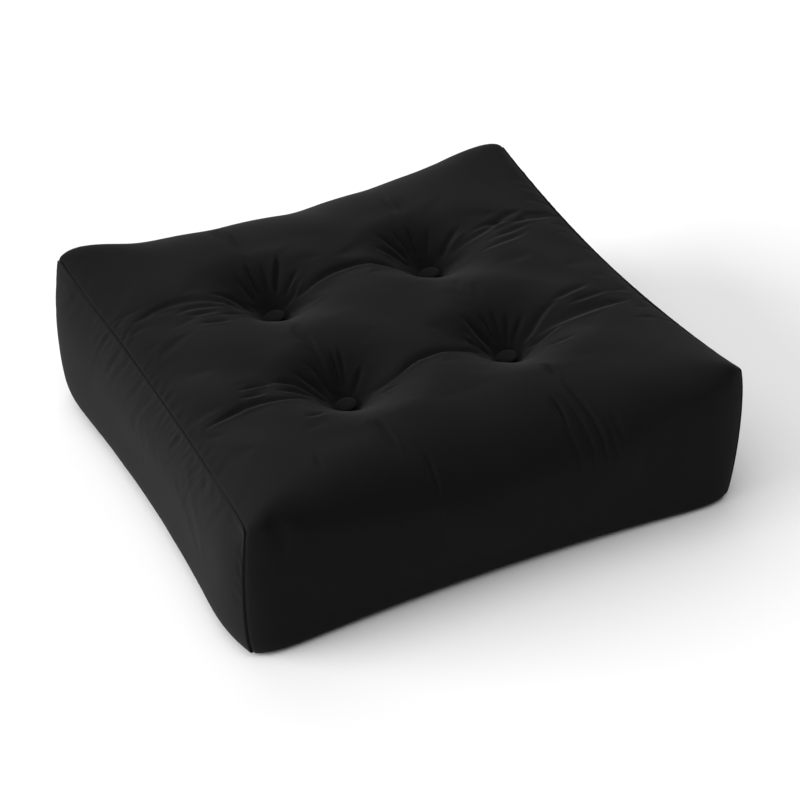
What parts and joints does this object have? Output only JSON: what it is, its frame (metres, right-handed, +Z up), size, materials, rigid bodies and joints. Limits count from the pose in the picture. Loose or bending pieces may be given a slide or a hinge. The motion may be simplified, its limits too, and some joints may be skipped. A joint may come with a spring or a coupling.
{
  "type": "floor pouf",
  "caption": "Low square filled floor pouf in plain black cloth, its top pulled down in deep pits by covered buttons, to sit or rest the feet on.",
  "frame": {"origin": "on the floor, under the middle of the flat underside", "axes": "+X to the right along the width, between the end panels; +Y to the back, so the front faces -Y; +Z up"},
  "size_m": [0.7319, 0.668, 0.2286],
  "materials": {
    "wrap_cloth": "matt close-woven black cloth, stretched over soft filling",
    "end_cloth": "the same matt black cloth, cut as end panels",
    "button_cloth": "the same matt black cloth, stretched over button forms"
  },
  "bodies": {
    "root": {"cushion_body": "wrap_cloth", "end_panel_left": "end_cloth", "end_panel_right": "end_cloth", "button_back_left": "button_cloth", "button_back_right": "button_cloth", "button_front_left": "button_cloth", "button_front_right": "button_cloth"}
  },
  "joints": []
}
